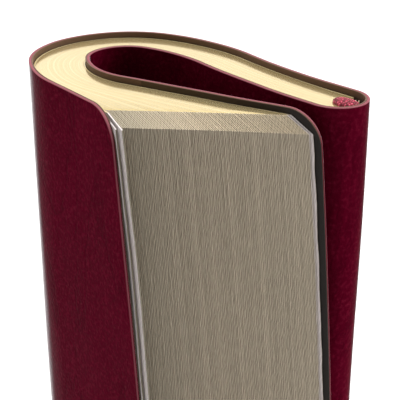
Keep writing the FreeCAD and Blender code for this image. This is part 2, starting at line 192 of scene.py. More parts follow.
def crossing(offset, heading, point, along):
    """Distance along a layer at which it crosses the line through a point, square to a
    direction: read off a fine table of the signed distance to that line."""
    end = bend_length(offset, heading)
    table = np.linspace(end - 5.0, end + 9.0, 600)
    x, y, _ = follow(offset, heading, table)
    signed = (x - point[0]) * along[0] + (y - point[1]) * along[1]
    return float(np.interp(0.0, signed, table))


def fore_distance(offset, heading):
    """Distance along a layer at which it meets the line on which the leaves end."""
    end = bend_length(offset, heading)
    x, y, _ = follow(offset, heading, end)
    square = direction(FORE_HEADING + 90)
    away = FORE_LINE - np.array([float(x), float(y)])
    return end + float(away @ square / (direction(heading) @ square))


def fore_shift(level, height, lean):
    """How far the fore edge stands out past its place at the head: the lean's parabola,
    upright at the tail."""
    return lean * height / 2 * (1 - (level / height) ** 2)


# ---------------------------------------------------------------- meshes
def stacked(shape, *parts):
    """Coordinates or directions of a grid from their three parts, each spread over it."""
    return np.stack([np.broadcast_to(part, shape) for part in parts], -1)


def square_to(angle):
    """Level unit vectors square to headings in radians, towards positive offsets."""
    return np.stack([np.sin(angle), -np.cos(angle), np.zeros_like(angle)], -1)


def grid_faces(index):
    """Quads of a grid of point numbers, wound so that they face the grid's normal."""
    corners = [index[:-1, :-1], index[1:, :-1], index[1:, 1:], index[:-1, 1:]]
    return np.stack(corners, -1).reshape(-1, 4)


def slab(centre, normal, half):
    """Both faces and the four sides of a thin sheet on a grid of centre points: each face
    stands off the centre by the half thickness along the normal, and they share a point
    where that is nothing.  Kinds: 0 faces, 1 first and 2 last column, 3 first and 4 last row."""
    front = np.arange(half.size).reshape(half.shape)
    back = np.where(half < 1e-9, front, front + half.size)
    points = np.concatenate([centre + normal * half[..., None], centre - normal * half[..., None]])
    blocks = [
        grid_faces(front),
        grid_faces(back)[:, ::-1],
        grid_faces(np.stack([back[0], front[0]])),
        grid_faces(np.stack([front[-1], back[-1]])),
        grid_faces(np.stack([front[:, 0], back[:, 0]])),
        grid_faces(np.stack([back[:, -1], front[:, -1]])),
    ]
    sizes = [len(block) for block in blocks]
    return points.reshape(-1, 3), np.concatenate(blocks), np.repeat([0, 0, 1, 2, 3, 4], sizes)


def piece_from(name, points, faces, slots, materials, attributes):
    """A mesh object from points in millimetres and quads.  Corners that repeat the corner
    before them are dropped, and so are points that no face uses."""
    keep = faces != np.roll(faces, 1, axis=1)
    sound = keep.sum(1) > 2
    faces, keep, slots = faces[sound], keep[sound], slots[sound]
    used, loops = np.unique(faces[keep], return_inverse=True)
    sizes = keep.sum(1)
    mesh = bpy.data.meshes.new(name)
    mesh.vertices.add(len(used))
    mesh.vertices.foreach_set("co", (points[used] * MM).astype(np.float32).ravel())
    mesh.loops.add(len(loops))
    mesh.loops.foreach_set("vertex_index", loops.astype(np.int32).ravel())
    mesh.polygons.add(len(sizes))
    mesh.polygons.foreach_set("loop_start", np.concatenate([[0], np.cumsum(sizes)[:-1]]).astype(np.int32))
    mesh.polygons.foreach_set("material_index", slots.astype(np.int32))
    mesh.update(calc_edges=True)
    mesh.shade_smooth()
    mesh.set_sharp_from_angle(angle=np.radians(40))
    for key, values in attributes.items():
        layer = mesh.attributes.new(key, "FLOAT", "POINT")
        layer.data.foreach_set("value", values[used].astype(np.float32))
    for material in materials:
        mesh.materials.append(material)
    mesh.validate()
    piece = bpy.data.objects.new(name, mesh)
    bpy.context.scene.collection.objects.link(piece)
    return piece


def undulation(distance, level):
    """Slow hand-made waves of a limp sheet: three sine waves across its length and
    height, in millimetres."""
    wave = 0.05 * np.sin(distance * 0.19 + level * 0.045 + 0.6)
    wave += 0.04 * np.sin(distance * 0.33 - level * 0.11 + 2.1)
    wave += 0.02 * np.sin(distance * 0.61 + level * 0.17 + 4.0)
    return wave


def rim_profile(depth, thick, round_by):
    """Half thickness of a cut edge: nothing at the edge, full past the rounding, with
    the squarish curve of a cube-power ellipse."""
    share = np.clip(depth / round_by, 0, 1)
    return thick / 2 * (1 - (1 - share) ** 3) ** (1 / 3)


def rim_mask(depth):
    """1 at a cut edge, falling as a bell curve over the rim's width: where the cut edge is painted
    paler, partly its own colour and partly a painted highlight.
    """
    return np.concatenate([np.exp(-((depth / RIM_WIDTH) ** 2)).ravel()] * 2)


def bend_steps(offset, end):
    """Distances along one side of the wrap, closer together in the tight bends."""
    steps = [0.0]
    for radius, turn in BENDS:
        steps.append(steps[-1] + abs(radius + offset) * abs(np.radians(turn)))
    steps.append(end)
    parts = [np.linspace(*part) for part in zip(steps, steps[1:], ARC_POINTS)]
    return np.unique(np.concatenate(parts))


def wrapped_sheet(name, inner, thick, round_by, material):
    """The leather or the lining round the spine and both bent sides, as one sheet.  The
    middle surface is the layer's curve, back side from its hinge to the spine, a half
    circle round the spine, and the front side out to its hinge."""
    offset = inner + thick / 2
    back_end = crossing(-offset, BACK_HEADING, *hinge(-(inner + thick), thick, BACK_HEADING))
    front_end = crossing(offset, FRONT_HEADING, *hinge(inner, thick, FRONT_HEADING))
    back = bend_steps(-offset, back_end)[::-1]
    front = bend_steps(offset, front_end)
    back_x, back_y, back_angle = follow(-offset, BACK_HEADING, back)
    front_x, front_y, front_angle = follow(offset, FRONT_HEADING, front)
    around = np.linspace(-np.pi / 2, np.pi / 2, 41)[1:-1]
    turn = np.radians(SPINE_HEADING) + np.pi + around
    x = np.concatenate([back_x, SPINE[0] + offset * np.cos(turn), front_x])
    y = np.concatenate([back_y, SPINE[1] + offset * np.sin(turn), front_y])
    out_x = np.concatenate([-np.sin(back_angle), np.cos(turn), np.sin(front_angle)])
    out_y = np.concatenate([np.cos(back_angle), np.sin(turn), -np.cos(front_angle)])
    apex = offset * np.pi / 2
    run = np.concatenate([-back - apex, around * offset, front + apex])
    near = round_by * np.linspace(0, 1, 5) ** 2
    middle = np.linspace(round_by, COVER_HEIGHT - round_by, 70)[1:-1]
    levels = np.concatenate([near, middle, COVER_HEIGHT - near[::-1]])
    shape = (len(x), len(levels))
    normal = stacked(shape, out_x[:, None], out_y[:, None], 0.0)
    centre = stacked(shape, x[:, None], y[:, None], levels)
    centre = centre + normal * undulation(run[:, None], levels)[..., None]
    depth = np.broadcast_to(np.minimum(levels, COVER_HEIGHT - levels), shape)
    points, faces, kinds = slab(centre, normal, rim_profile(depth, thick, round_by))
    return piece_from(name, points, faces, np.zeros_like(kinds), [material], {"rim": rim_mask(depth)})


def cover_length(level, reach, lean):
    """Length of a cover's free part at a level: the leaning fore edge, less the quarter
    circles of its two corners."""
    depth = np.clip(COVER_CORNER - np.minimum(level, COVER_HEIGHT - level), 0, COVER_CORNER)
    corner = COVER_CORNER - np.sqrt(COVER_CORNER**2 - depth**2)
    return reach + fore_shift(level, COVER_HEIGHT, lean) - corner


def outline_depth(ahead, level):
    """Distance of a point inside a cover's outline: to the fore edge or to the nearer end,
    and in the corners to the quarter circle."""
    to_end = np.minimum(level, COVER_HEIGHT - level)
    into = np.maximum(COVER_CORNER - ahead, 0)
    down = np.maximum(COVER_CORNER - to_end, 0)
    round_depth = COVER_CORNER - np.sqrt(into**2 + down**2)
    depth = np.where((into > 0) & (down > 0), round_depth, np.minimum(ahead, to_end))
    return np.maximum(depth, 0)


def cover_flap(name, side, inner, thick, round_by, reach, material):
    """The free end of the leather or lining past its hinge: a flat sheet whose length at
    each level is cover_length, thinned to nothing along its rounded outline.  Its cut edge
    is paler, partly its own colour and partly a painted highlight, full at the two ends and
    along the fore edge mostly on the outer side.  Fore_edge_shade marks a painted shade
    towards the fore edge, which the lining shows."""
    heading, lean = (FRONT_HEADING, FRONT_LEAN) if side > 0 else (BACK_HEADING, BACK_LEAN)
    offset = side * (inner + thick / 2)
    point, along = hinge(inner if side > 0 else -(inner + thick), thick, heading)
    start = crossing(offset, heading, point, along)
    end = bend_length(offset, heading)
    rim = round_by * np.linspace(0, 1, 5) ** 2
    corner = COVER_CORNER * (1 - np.cos(np.linspace(0, np.pi / 2, 22)))
    corner = np.unique(np.concatenate([rim, corner[corner > round_by * 1.1]]))
    middle = np.linspace(COVER_CORNER, COVER_HEIGHT - COVER_CORNER, 66)[1:-1]
    levels = np.concatenate([corner, middle, COVER_HEIGHT - corner[::-1]])
    length = end + cover_length(levels, reach, lean) - start
    far = length.max()
    share = np.concatenate([[0, 0.002], np.linspace(0.04, 0.9, 16)])
    tail = 1 - np.concatenate([np.linspace(0.08, round_by / far * 1.2, 6), rim[::-1] / far])
    share = np.unique(np.concatenate([share, tail]))
    distance = start + share[:, None] * length
    level = np.broadcast_to(levels, distance.shape)
    x, y, angle = follow(offset, heading, distance)
    out = square_to(angle) * side
    run = side * (distance + (inner + thick / 2) * np.pi / 2)
    centre = np.stack([x, y, level], -1) + out * undulation(run, level)[..., None]
    ahead = end + reach + fore_shift(level, COVER_HEIGHT, lean) - distance
    depth = outline_depth(ahead, level)
    depth[-1] = 0
    depth[:, [0, -1]] = 0
    half = rim_profile(depth, thick, round_by)
    if side < 0:
        centre, out, half, depth = centre[::-1], out[::-1], half[::-1], depth[::-1]
        level, ahead = level[::-1], ahead[::-1]
    # painted highlight on the cut edge: full at head and tail, weaker along the fore edge and on the inner
    # face
    to_end = np.minimum(level, COVER_HEIGHT - level)
    end_share = np.clip(1 - to_end / COVER_CORNER, 0, 1)
    paling = np.concatenate([(0.6 + 0.4 * end_share).ravel(), (0.3 + 0.7 * end_share).ravel()])
    # painted shade: darker towards the fore edge, where the lining lies in shade
    fore_edge_shade = np.clip(1 - ahead / (0.8 * reach), 0, 1) ** 0.7
    marks = {"rim": rim_mask(depth) * paling, "fore_edge_shade": np.tile(fore_edge_shade.ravel(), 2)}
    points, faces, kinds = slab(centre, out, half)
    return piece_from(name, points, faces, np.zeros_like(kinds), [material], marks)


# ---------------------------------------------------------------- leaves
def spine_start(offset):
    """How far behind the spine line a leaf begins: the rounded spine's circle, less the
    half circle in which its gathering's sheets are folded."""
    middle = (np.floor(offset / PITCH) + 0.5) * PITCH
    depth = np.sqrt(SPINE_ROUND**2 - middle**2) - SPINE_ROUND + SPINE_CROWN - GATHERING / 2
    inside = np.clip(1 - ((offset - middle) / (GATHERING / 2)) ** 2, 0, 1)
    return -(depth + GATHERING / 2 * np.sqrt(inside))


def leaf_wave(offset, level, ripple):
    """Wave of a leaf's free end, in millimetres: slow waves that all leaves share and
    that drift from leaf to leaf, and a small quick ripple of its own, given as the turn
    per millimetre and the start."""
    wave = 0.10 * np.sin(level * 0.085 + offset * 0.5)
    wave += 0.06 * np.sin(level * 0.21 - offset * 0.9 + 1.3)
    return wave + LEAF_RIPPLE * np.sin(level * ripple[0] + ripple[1])


def bent_leaf(offset, thick, cut, lift):
    """A leaf from its fold at the spine round the bend to its hinge: two rows of points."""
    heading = leg_heading(offset)
    start = float(spine_start(offset)) if abs(offset) < PAPER_HALF else 0.0
    steps = bend_steps(offset, cut)
    steps = np.concatenate([[start], steps[steps > max(start, 0) + 0.05]])
    distance = np.repeat(steps[:, None], 2, axis=1)
    level = np.broadcast_to([0.0, LEAF_HEIGHT + lift], distance.shape)
    x, y, angle = follow(offset, heading, distance)
    out = square_to(angle)
    centre = np.stack([x, y, HEAD_INSET + level], -1)
    return slab(centre, out, np.full(distance.shape, thick / 2))


def free_leaf(offset, heading, thick, cut, lift, ripple, retreat, rows):
    """A leaf past its hinge.  It ends on the fore edge with both corners clipped, kind 5,
    each level a little longer or shorter by chance; it thickens as the leaves spread."""
    lean = BACK_LEAN + rank(offset) * (FRONT_LEAN - BACK_LEAN)
    clip_down = CLIP_DOWN + rank(offset) * (FRONT_CLIP_DOWN - CLIP_DOWN)
    levels = np.linspace(clip_down, LEAF_HEIGHT - clip_down, rows)
    levels = np.concatenate([[0.0], levels, [LEAF_HEIGHT + lift]])
    end = fore_distance(offset, heading) + CLIP_ALONG + fore_shift(levels, LEAF_HEIGHT, lean)
    end += rng.normal(0, EDGE_ROUGHNESS, len(levels)) - retreat
    end[[0, -1]] -= CLIP_ALONG
    share = np.array([0, 0.12, 0.35, 0.6, 0.85, 1.0])
    distance = cut + share[:, None] * (end - cut)
    level = np.broadcast_to(levels, distance.shape)
    x, y, angle = follow(offset, heading, distance)
    out = square_to(angle)
    wave = share[:, None] ** 1.5 * leaf_wave(offset, level, ripple)
    centre = np.stack([x, y, HEAD_INSET + level], -1) + out * wave[..., None]
    apart = np.maximum(distance - bend_length(offset, heading), 0) * spreading(offset)
    points, faces, kinds = slab(centre, out, thick / 2 * (1 + THICKENING * apart))
    kinds[np.flatnonzero(kinds == 2)[[0, -1]]] = 5
    return points, faces, kinds


def leaf_stack(name, offsets, headings, thick, retreats, point, along, rows, materials):
    """Two pieces, the bent and the free parts of a stack of leaves, each leaf a closed
    thin sheet of its own with its own shade, lift and ripple.  Cover_shade marks the leaves
    nearest the front cover, for a painted shadow of that cover on their cut ends."""
    bent, free = [], []
    for offset, heading, retreat in zip(offsets, headings, retreats):
        ripple = rng.uniform(0.5, 1.1), rng.uniform(0, 6.28)
        retreat = retreat - rng.normal(0, LEAF_ROUGHNESS)
        shade = rng.uniform(0, 1)
        # painted shadow: how much the front cover shades this leaf's cut end
        cover_shade = np.clip((rank(offset) - 0.55) / 0.45, 0, 1)
        lift = rng.uniform(-0.003, 0.003)
        cut = crossing(offset, heading, point, along)
        bent.append(bent_leaf(offset, thick, cut, lift) + (shade, cover_shade))
        free.append(free_leaf(offset, heading, thick, cut, lift, ripple, retreat, rows) + (shade, cover_shade))
    pieces = []
    slot_of_kind = np.array([0, 0, 2, 1, 1, 3])
    for leaves, word in (bent, "bend"), (free, "fan"):
        points, faces, kinds, shades, cover_shades = zip(*leaves)
        sizes = np.array([len(block) for block in points])
        starts = np.repeat(np.cumsum(sizes) - sizes, [len(block) for block in faces])
        pieces.append(
            piece_from(
                "%s_%s" % (name, word),
                np.concatenate(points),
                np.concatenate(faces) + starts[:, None],
                slot_of_kind[np.concatenate(kinds)],
                materials,
                {"leaf": np.repeat(shades, sizes), "cover_shade": np.repeat(cover_shades, sizes)},
            )
        )
    return pieces


# ---------------------------------------------------------------- bands
def woven_band(name, at_head, material):
    """A rolled band on the end of the spine: a blunt lens in plan, domed as a half ellipse
    across and more bluntly along, with a plain weave in relief, turned by 25 degrees.  In
    each cell of the weave either the thread along or the thread across lies on top,
    rounded as a half circle across itself and arched along itself."""
    across_count, along_count = 91, 145
    u = np.linspace(-1, 1, along_count)[:, None]
    v = np.linspace(-1, 1, across_count)[None, :]
    x = BAND_LENGTH / 2 * u + 0 * v
    y = BAND_WIDTH / 2 * v * np.clip(1 - u**2, 0, 1) ** 0.4
    dome = np.clip(1 - u**2, 0, 1) ** 0.3 * np.sqrt(np.clip(1 - v**2, 0, 1))
    cosine, sine = 0.906, 0.423
    turned_x = (x * cosine + y * sine) / WEAVE_PITCH
    turned_y = (y * cosine - x * sine) / WEAVE_PITCH
    cell_x, part_x = np.floor(turned_x), turned_x - np.floor(turned_x)
    cell_y, part_y = np.floor(turned_y), turned_y - np.floor(turned_y)
    on_top = (cell_x + cell_y) % 2
    round_x = np.sqrt(np.clip(1 - (2 * part_x - 1) ** 2, 0, 1))
    round_y = np.sqrt(np.clip(1 - (2 * part_y - 1) ** 2, 0, 1))
    arch_x, arch_y = np.sin(np.pi * part_x), np.sin(np.pi * part_y)
    relief = np.where(on_top > 0.5, round_y * (0.4 + 0.6 * arch_x), round_x * (0.4 + 0.6 * arch_y))
    height = (BAND_HEIGHT - 1.1 * WEAVE_RELIEF) * dome
    height = height + WEAVE_RELIEF * relief * np.clip(dome * 3, 0, 1)
    height[[0, -1]] = 0
    height[:, [0, -1]] = 0
    backward = -direction(SPINE_HEADING)
    outward = np.array([-backward[1], backward[0]])
    middle = SPINE + backward * BAND_SETBACK + outward * BAND_OFFSET
    base = COVER_HEIGHT - HEAD_INSET + BAND_LIFT
    up = 1.0 if at_head else -1.0
    level = base + height / 2 if at_head else COVER_HEIGHT - base - height / 2
    plan = middle + x[..., None] * backward + y[..., None] * outward
    centre = np.concatenate([plan, level[..., None]], -1)
    normal = np.broadcast_to([0.0, 0.0, up], centre.shape)
    if not at_head:
        centre, normal, height = centre[::-1], normal[::-1], height[::-1]
        relief, on_top = relief[::-1], on_top[::-1]
    points, faces, kinds = slab(centre, normal, height / 2)
    lying = {"over": np.tile(on_top.ravel(), 2), "relief": np.tile(relief.ravel(), 2)}
    return piece_from(name, points, faces, np.zeros_like(kinds), [material], lying)


# ---------------------------------------------------------------- shader helpers
def new_material(name):
    """An empty node material with its Principled shader."""
    material = bpy.data.materials.new(name)
    material.use_nodes = True
    return material, material.node_tree, material.node_tree.nodes["Principled BSDF"]


def fill(tree, sockets, values):
    """Set input sockets from a dictionary; a value that is itself a socket is linked."""
    for key, value in values.items():
        if isinstance(value, bpy.types.NodeSocket):
            tree.links.new(value, sockets[key])
        else:
            sockets[key].default_value = value


def node(tree, kind, inputs, **settings):
    """A node with its input values and settings."""
    made = tree.nodes.new(kind)
    for key, value in settings.items():
        setattr(made, key, value)
    fill(tree, made.inputs, inputs)
    return made


def group_tree(name, inputs, outputs):
    """An empty node group with named inputs and outputs, given as (label, kind)."""
    tree = bpy.data.node_groups.new(name, "ShaderNodeTree")
    kinds = {"float": "NodeSocketFloat", "vector": "NodeSocketVector"}
    for label, kind in inputs:
        tree.interface.new_socket(name=label, in_out="INPUT", socket_type=kinds[kind])
    for label, kind in outputs:
        tree.interface.new_socket(name=label, in_out="OUTPUT", socket_type=kinds[kind])
    return tree, tree.nodes.new("NodeGroupInput").outputs, tree.nodes.new("NodeGroupOutput").inputs


def maths(tree, operation, *values):
    """Output of a Math node on up to three values or sockets."""
    return node(tree, "ShaderNodeMath", dict(enumerate(values)), operation=operation).outputs[0]


def noise(tree, vector, scale, detail=2.0, roughness=0.5, distortion=0.0):
    """Fac output of a noise texture."""
    values = {"Vector": vector, "Scale": scale, "Detail": detail}
    values.update({"Roughness": roughness, "Distortion": distortion})
    return node(tree, "ShaderNodeTexNoise", values).outputs["Fac"]


def stretched(tree, vector, scale, rotation=(0.0, 0.0, 0.0)):
    """Coordinates turned and scaled by a Mapping node."""
    values = {"Vector": vector, "Scale": scale, "Rotation": rotation}
    return node(tree, "ShaderNodeMapping", values).outputs[0]


def ranged(tree, value, low, high, to_low=0.0, to_high=1.0):
    """A value mapped from one range to another and kept inside it."""
    values = {"Value": value, "From Min": low, "From Max": high, "To Min": to_low, "To Max": to_high}
    return node(tree, "ShaderNodeMapRange", values).outputs[0]


def mixed(tree, factor, first, second):
    """Mix of two colours; each may be a value or a socket."""
    return node(tree, "ShaderNodeMix", {0: factor, 6: first, 7: second}, data_type="RGBA").outputs[2]


def attribute(tree, name):
    """Value of a mesh attribute."""
    return node(tree, "ShaderNodeAttribute", {}, attribute_name=name).outputs["Fac"]


def object_coordinates(tree):
    """The Object output of a Texture Coordinate node."""
    return tree.nodes.new("ShaderNodeTexCoord").outputs["Object"]


def bump(tree, shader, height, strength, distance):
    """Feed a height to the shader's normal."""
    made = node(tree, "ShaderNodeBump", {"Height": height, "Strength": strength, "Distance": distance})
    tree.links.new(made.outputs[0], shader.inputs["Normal"])


def set_shader(tree, shader, **values):
    """Values on the shader's own sockets; underscores stand for spaces."""
    fill(tree, shader.inputs, {key.replace("_", " "): value for key, value in values.items()})


def skin_grain_group():
    """Pebbled grain with soft creases: small cells for the pebbles and stretched noise for
    the creases.  Puts out a height, a crease mask, a slow blotch and a fine mottle."""
    tree, given, out = group_tree(
        "skin_grain",
        [("Vector", "vector"), ("Pebbles", "float"), ("Creases", "float")],
        [("Height", "float"), ("Crease", "float"), ("Blotch", "float"), ("Mottle", "float")],
    )
    warp = node(tree, "ShaderNodeTexNoise", {"Vector": given["Vector"], "Scale": 900.0, "Detail": 2.0})
    by = (0.0006, 0.0006, 0.0006)
    shift = node(tree, "ShaderNodeVectorMath", {0: warp.outputs["Color"], 1: by}, operation="MULTIPLY")
    moved = node(tree, "ShaderNodeVectorMath", {0: given["Vector"], 1: shift.outputs[0]}, operation="ADD")
    moved = moved.outputs[0]
    cells = {"Vector": moved, "Scale": given["Pebbles"]}
    pebble = node(tree, "ShaderNodeTexVoronoi", cells, feature="SMOOTH_F1").outputs["Distance"]
    fine = noise(tree, given["Vector"], 5200.0, 3.0)
    drawn = stretched(tree, moved, (1.0, 1.0, 0.35), (0.5, 0.2, 0.4))
    crease = noise(tree, drawn, given["Creases"], 4.0, 0.62, 0.9)
    line = maths(tree, "ABSOLUTE", maths(tree, "SUBTRACT", crease, 0.5))
    line = ranged(tree, line, 0.0, 0.035, 1.0, 0.0)
    height = maths(tree, "MULTIPLY_ADD", fine, 0.25, maths(tree, "MULTIPLY", pebble, -1.0))
    height = maths(tree, "MULTIPLY_ADD", line, -0.35, height)
    tree.links.new(height, out["Height"])
    tree.links.new(line, out["Crease"])
    tree.links.new(noise(tree, given["Vector"], 60.0, 3.0), out["Blotch"])
    tree.links.new(noise(tree, moved, 1900.0, 3.0, 0.6), out["Mottle"])
    return tree


def fibre_group():
    """Paper fibres: wavy bands and drawn-out noise, both a little off the upright, and a
    fine tooth."""
    outputs = [("Streak", "float"), ("Tooth", "float")]
    tree, given, out = group_tree("fibre", [("Vector", "vector")], outputs)
    leaning = stretched(tree, given["Vector"], (1.0, 1.0, 1.0), (0.0, -0.15, 0.0))
    values = {"Vector": leaning, "Scale": 850.0, "Distortion": 4.0, "Detail": 1.0}
    ripple = node(tree, "ShaderNodeTexWave", values, bands_direction="X").outputs["Fac"]
    drawn = noise(tree, stretched(tree, leaning, (1.0, 1.0, 0.08)), 7000.0, 1.0)
    streak = maths(tree, "MULTIPLY_ADD", ripple, 0.35, maths(tree, "MULTIPLY", drawn, 0.65))
    tree.links.new(streak, out["Streak"])
    tree.links.new(noise(tree, given["Vector"], 9000.0), out["Tooth"])
    return tree


def yarn_group():
    """Twisted yarn: fine slanting bands with a little fluff."""
    tree, given, out = group_tree("yarn", [("Vector", "vector"), ("Scale", "float")], [("Twist", "float")])
    values = {"Vector": given["Vector"], "Scale": given["Scale"], "Distortion": 1.5, "Detail": 2.0}
    bands = node(tree, "ShaderNodeTexWave", values, bands_direction="DIAGONAL").outputs["Fac"]
    fluff = noise(tree, given["Vector"], 14000.0)
    tree.links.new(maths(tree, "MULTIPLY_ADD", fluff, 0.5, bands), out["Twist"])
    return tree


SKIN_GRAIN = skin_grain_group()
FIBRE = fibre_group()
YARN = yarn_group()


def use_group(tree, group, inputs):
    """Outputs of a group placed in a material with its own values."""
    return node(tree, "ShaderNodeGroup", inputs, node_tree=group).outputs


# ---------------------------------------------------------------- materials
def leather_material():
    """Deep red limp leather: grain and creases as bump, with painted shade in the creases, a slow
    change of tone, a fine mottle, a paler rosy cut edge along its rim that is partly its own
    colour and partly a painted highlight, and a soft sheen where it is seen edge on."""
    material, tree, shader = new_material("red_leather")
    place = object_coordinates(tree)
    grain = use_group(tree, SKIN_GRAIN, {"Vector": place, "Pebbles": 2300.0, "Creases": 110.0})
    tone = mixed(tree, grain["Blotch"], (0.062, 0.0004, 0.0068, 1), (0.086, 0.0006, 0.0105, 1))
    paling = ranged(tree, grain["Mottle"], 0.48, 0.72, 0.0, 0.7)
    tone = mixed(tree, paling, tone, (0.140, 0.006, 0.021, 1))
    # painted shade in the creases
    tone = mixed(tree, maths(tree, "MULTIPLY", grain["Crease"], 0.5), tone, (0.045, 0.0, 0.005, 1))
    # painted highlight: the rosy rim stands partly for light caught on the cut edge
    cut = ranged(tree, attribute(tree, "rim"), 0.35, 0.80)
    tone = mixed(tree, cut, tone, (0.28, 0.095, 0.110, 1))
    set_shader(tree, shader, Base_Color=tone)
    bump(tree, shader, grain["Height"], 0.35, 0.00012)
    set_shader(tree, shader, Roughness=ranged(tree, grain["Blotch"], 0.3, 0.7, 0.26, 0.36))
    set_shader(tree, shader, Specular_IOR_Level=0.002, Sheen_Roughness=0.25)
    facing = node(tree, "ShaderNodeLayerWeight", {"Blend": 0.5}).outputs["Facing"]
    set_shader(tree, shader, Sheen_Weight=ranged(tree, facing, 0.78, 0.96, 0.0, 1.0))
    return material


def lining_material():
    """Thin brown lining: finer grain than the leather's, a painted shade darkening it to
    charcoal towards the fore edges, and a slightly paler rim, partly its own colour and
    partly a painted highlight."""
    material, tree, shader = new_material("brown_lining")
    place = object_coordinates(tree)
    grain = use_group(tree, SKIN_GRAIN, {"Vector": place, "Pebbles": 3600.0, "Creases": 240.0})
    brown = mixed(tree, grain["Blotch"], (0.055, 0.036, 0.022, 1), (0.095, 0.062, 0.038, 1))
    # painted shade: the charcoal tone the lining takes towards the fore edges
    dark = mixed(tree, grain["Blotch"], (0.014, 0.012, 0.011, 1), (0.028, 0.023, 0.020, 1))
    tone = mixed(tree, attribute(tree, "fore_edge_shade"), brown, dark)
    # paler rim: partly the cut edge's own colour, partly a painted highlight
    cut = ranged(tree, attribute(tree, "rim"), 0.35, 0.8, 0.0, 0.8)
    tone = mixed(tree, cut, tone, (0.17, 0.095, 0.065, 1))
    set_shader(tree, shader, Base_Color=tone)
    bump(tree, shader, grain["Height"], 0.3, 0.00006)
    set_shader(tree, shader, Roughness=ranged(tree, grain["Mottle"], 0.3, 0.7, 0.5, 0.62))
    set_shader(tree, shader, Specular_IOR_Level=0.1)
    return material


def paper_material(name, dark, pale):
    """Paper: fibres in its tone and bump, and each leaf a little lighter or darker."""
    material, tree, shader = new_material(name)
    fibres = use_group(tree, FIBRE, {"Vector": object_coordinates(tree)})
    shade = maths(tree, "MULTIPLY", attribute(tree, "leaf"), 0.25)
    shade = maths(tree, "ADD", ranged(tree, fibres["Streak"], 0.25, 0.75, 0.10, 0.66), shade)
    set_shader(tree, shader, Base_Color=mixed(tree, shade, dark, pale))
    bump(tree, shader, fibres["Tooth"], 0.2, 0.00003)
    set_shader(tree, shader, Roughness=ranged(tree, fibres["Streak"], 0.0, 1.0, 0.72, 0.88))
    set_shader(tree, shader, Specular_IOR_Level=0.25)
    return material


def trimmed_material(name, dark, pale, contrast):
    """Cut paper ends: grey-beige, with short darker streaks along their height, a worn
    trace of gilding, and a painted shadow of the front cover darkening them towards it."""
    material, tree, shader = new_material(name)
    fibres = use_group(tree, FIBRE, {"Vector": object_coordinates(tree)})
    streak = fibres["Streak"]
    leaf = maths(tree, "SUBTRACT", attribute(tree, "leaf"), 0.5)
    shade = ranged(tree, streak, 0.25, 0.75, 0.5 - contrast, 0.5 + contrast)
    shade = maths(tree, "MULTIPLY_ADD", leaf, contrast * 0.6, shade)
    tone = mixed(tree, shade, dark, pale)
    # painted shadow of the front cover on the leaves nearest it
    cover_shaded = maths(tree, "MULTIPLY", attribute(tree, "cover_shade"), 0.75)
    tone = mixed(tree, cover_shaded, tone, (0.11, 0.10, 0.065, 1))
    set_shader(tree, shader, Base_Color=tone)
    bump(tree, shader, streak, 0.3, 0.00004)
    set_shader(tree, shader, Roughness=ranged(tree, fibres["Tooth"], 0.2, 0.8, 0.42, 0.62))
    set_shader(tree, shader, Metallic=ranged(tree, streak, 0.3, 0.7, 0.35, 0.1))
    return material


def gilt_material(name, metallic):
    """Gilt head and tail: pale gold burnished smooth, a shade apart from leaf to leaf; the
    thinner the gilding, the less metallic it looks."""
    material, tree, shader = new_material(name)
    fibres = use_group(tree, FIBRE, {"Vector": object_coordinates(tree)})
    tone = mixed(tree, attribute(tree, "leaf"), (0.76, 0.575, 0.25, 1), (0.85, 0.70, 0.385, 1))
    set_shader(tree, shader, Base_Color=tone)
    set_shader(tree, shader, Roughness=ranged(tree, fibres["Tooth"], 0.2, 0.8, 0.10, 0.18))
    bump(tree, shader, fibres["Streak"], 0.05, 0.00002)
    set_shader(tree, shader, Metallic=metallic)
    return material


def band_material():
    """Woven band: red threads over pink ones, with painted shade between the threads."""
    material, tree, shader = new_material("woven_band")
    place = object_coordinates(tree)
    twist = use_group(tree, YARN, {"Vector": place, "Scale": 9000.0})["Twist"]
    tone = mixed(tree, attribute(tree, "over"), (0.40, 0.004, 0.032, 1), (0.85, 0.10, 0.18, 1))
    speckle = ranged(tree, noise(tree, place, 2200.0, 2.0), 0.44, 0.56)
    tone = mixed(tree, speckle, (0.20, 0.001, 0.014, 1), tone)
    # painted shade between the threads, where the relief is low
    tone = mixed(tree, ranged(tree, attribute(tree, "relief"), 0.15, 0.75), (0.07, 0.0, 0.006, 1), tone)
    set_shader(tree, shader, Base_Color=tone)
    bump(tree, shader, twist, 0.3, 0.00003)
    set_shader(tree, shader, Roughness=ranged(tree, twist, 0.0, 1.5, 0.45, 0.7))
    set_shader(tree, shader, Specular_IOR_Level=0.3, Sheen_Weight=0.15)
    return material


def glue_material():
    """Flexible binding glue: cream, glossy in patches, with brushed ridges."""
    material, tree, shader = new_material("binding_glue")
    place = object_coordinates(tree)
    brushed = noise(tree, stretched(tree, place, (1.0, 1.0, 0.1)), 2400.0, 3.0)
    tone = mixed(tree, brushed, (0.58, 0.50, 0.34, 1), (0.74, 0.68, 0.52, 1))
    set_shader(tree, shader, Base_Color=tone)
    bump(tree, shader, brushed, 0.4, 0.00008)
    set_shader(tree, shader, Roughness=ranged(tree, noise(tree, place, 300.0), 0.3, 0.7, 0.3, 0.6))
    return material


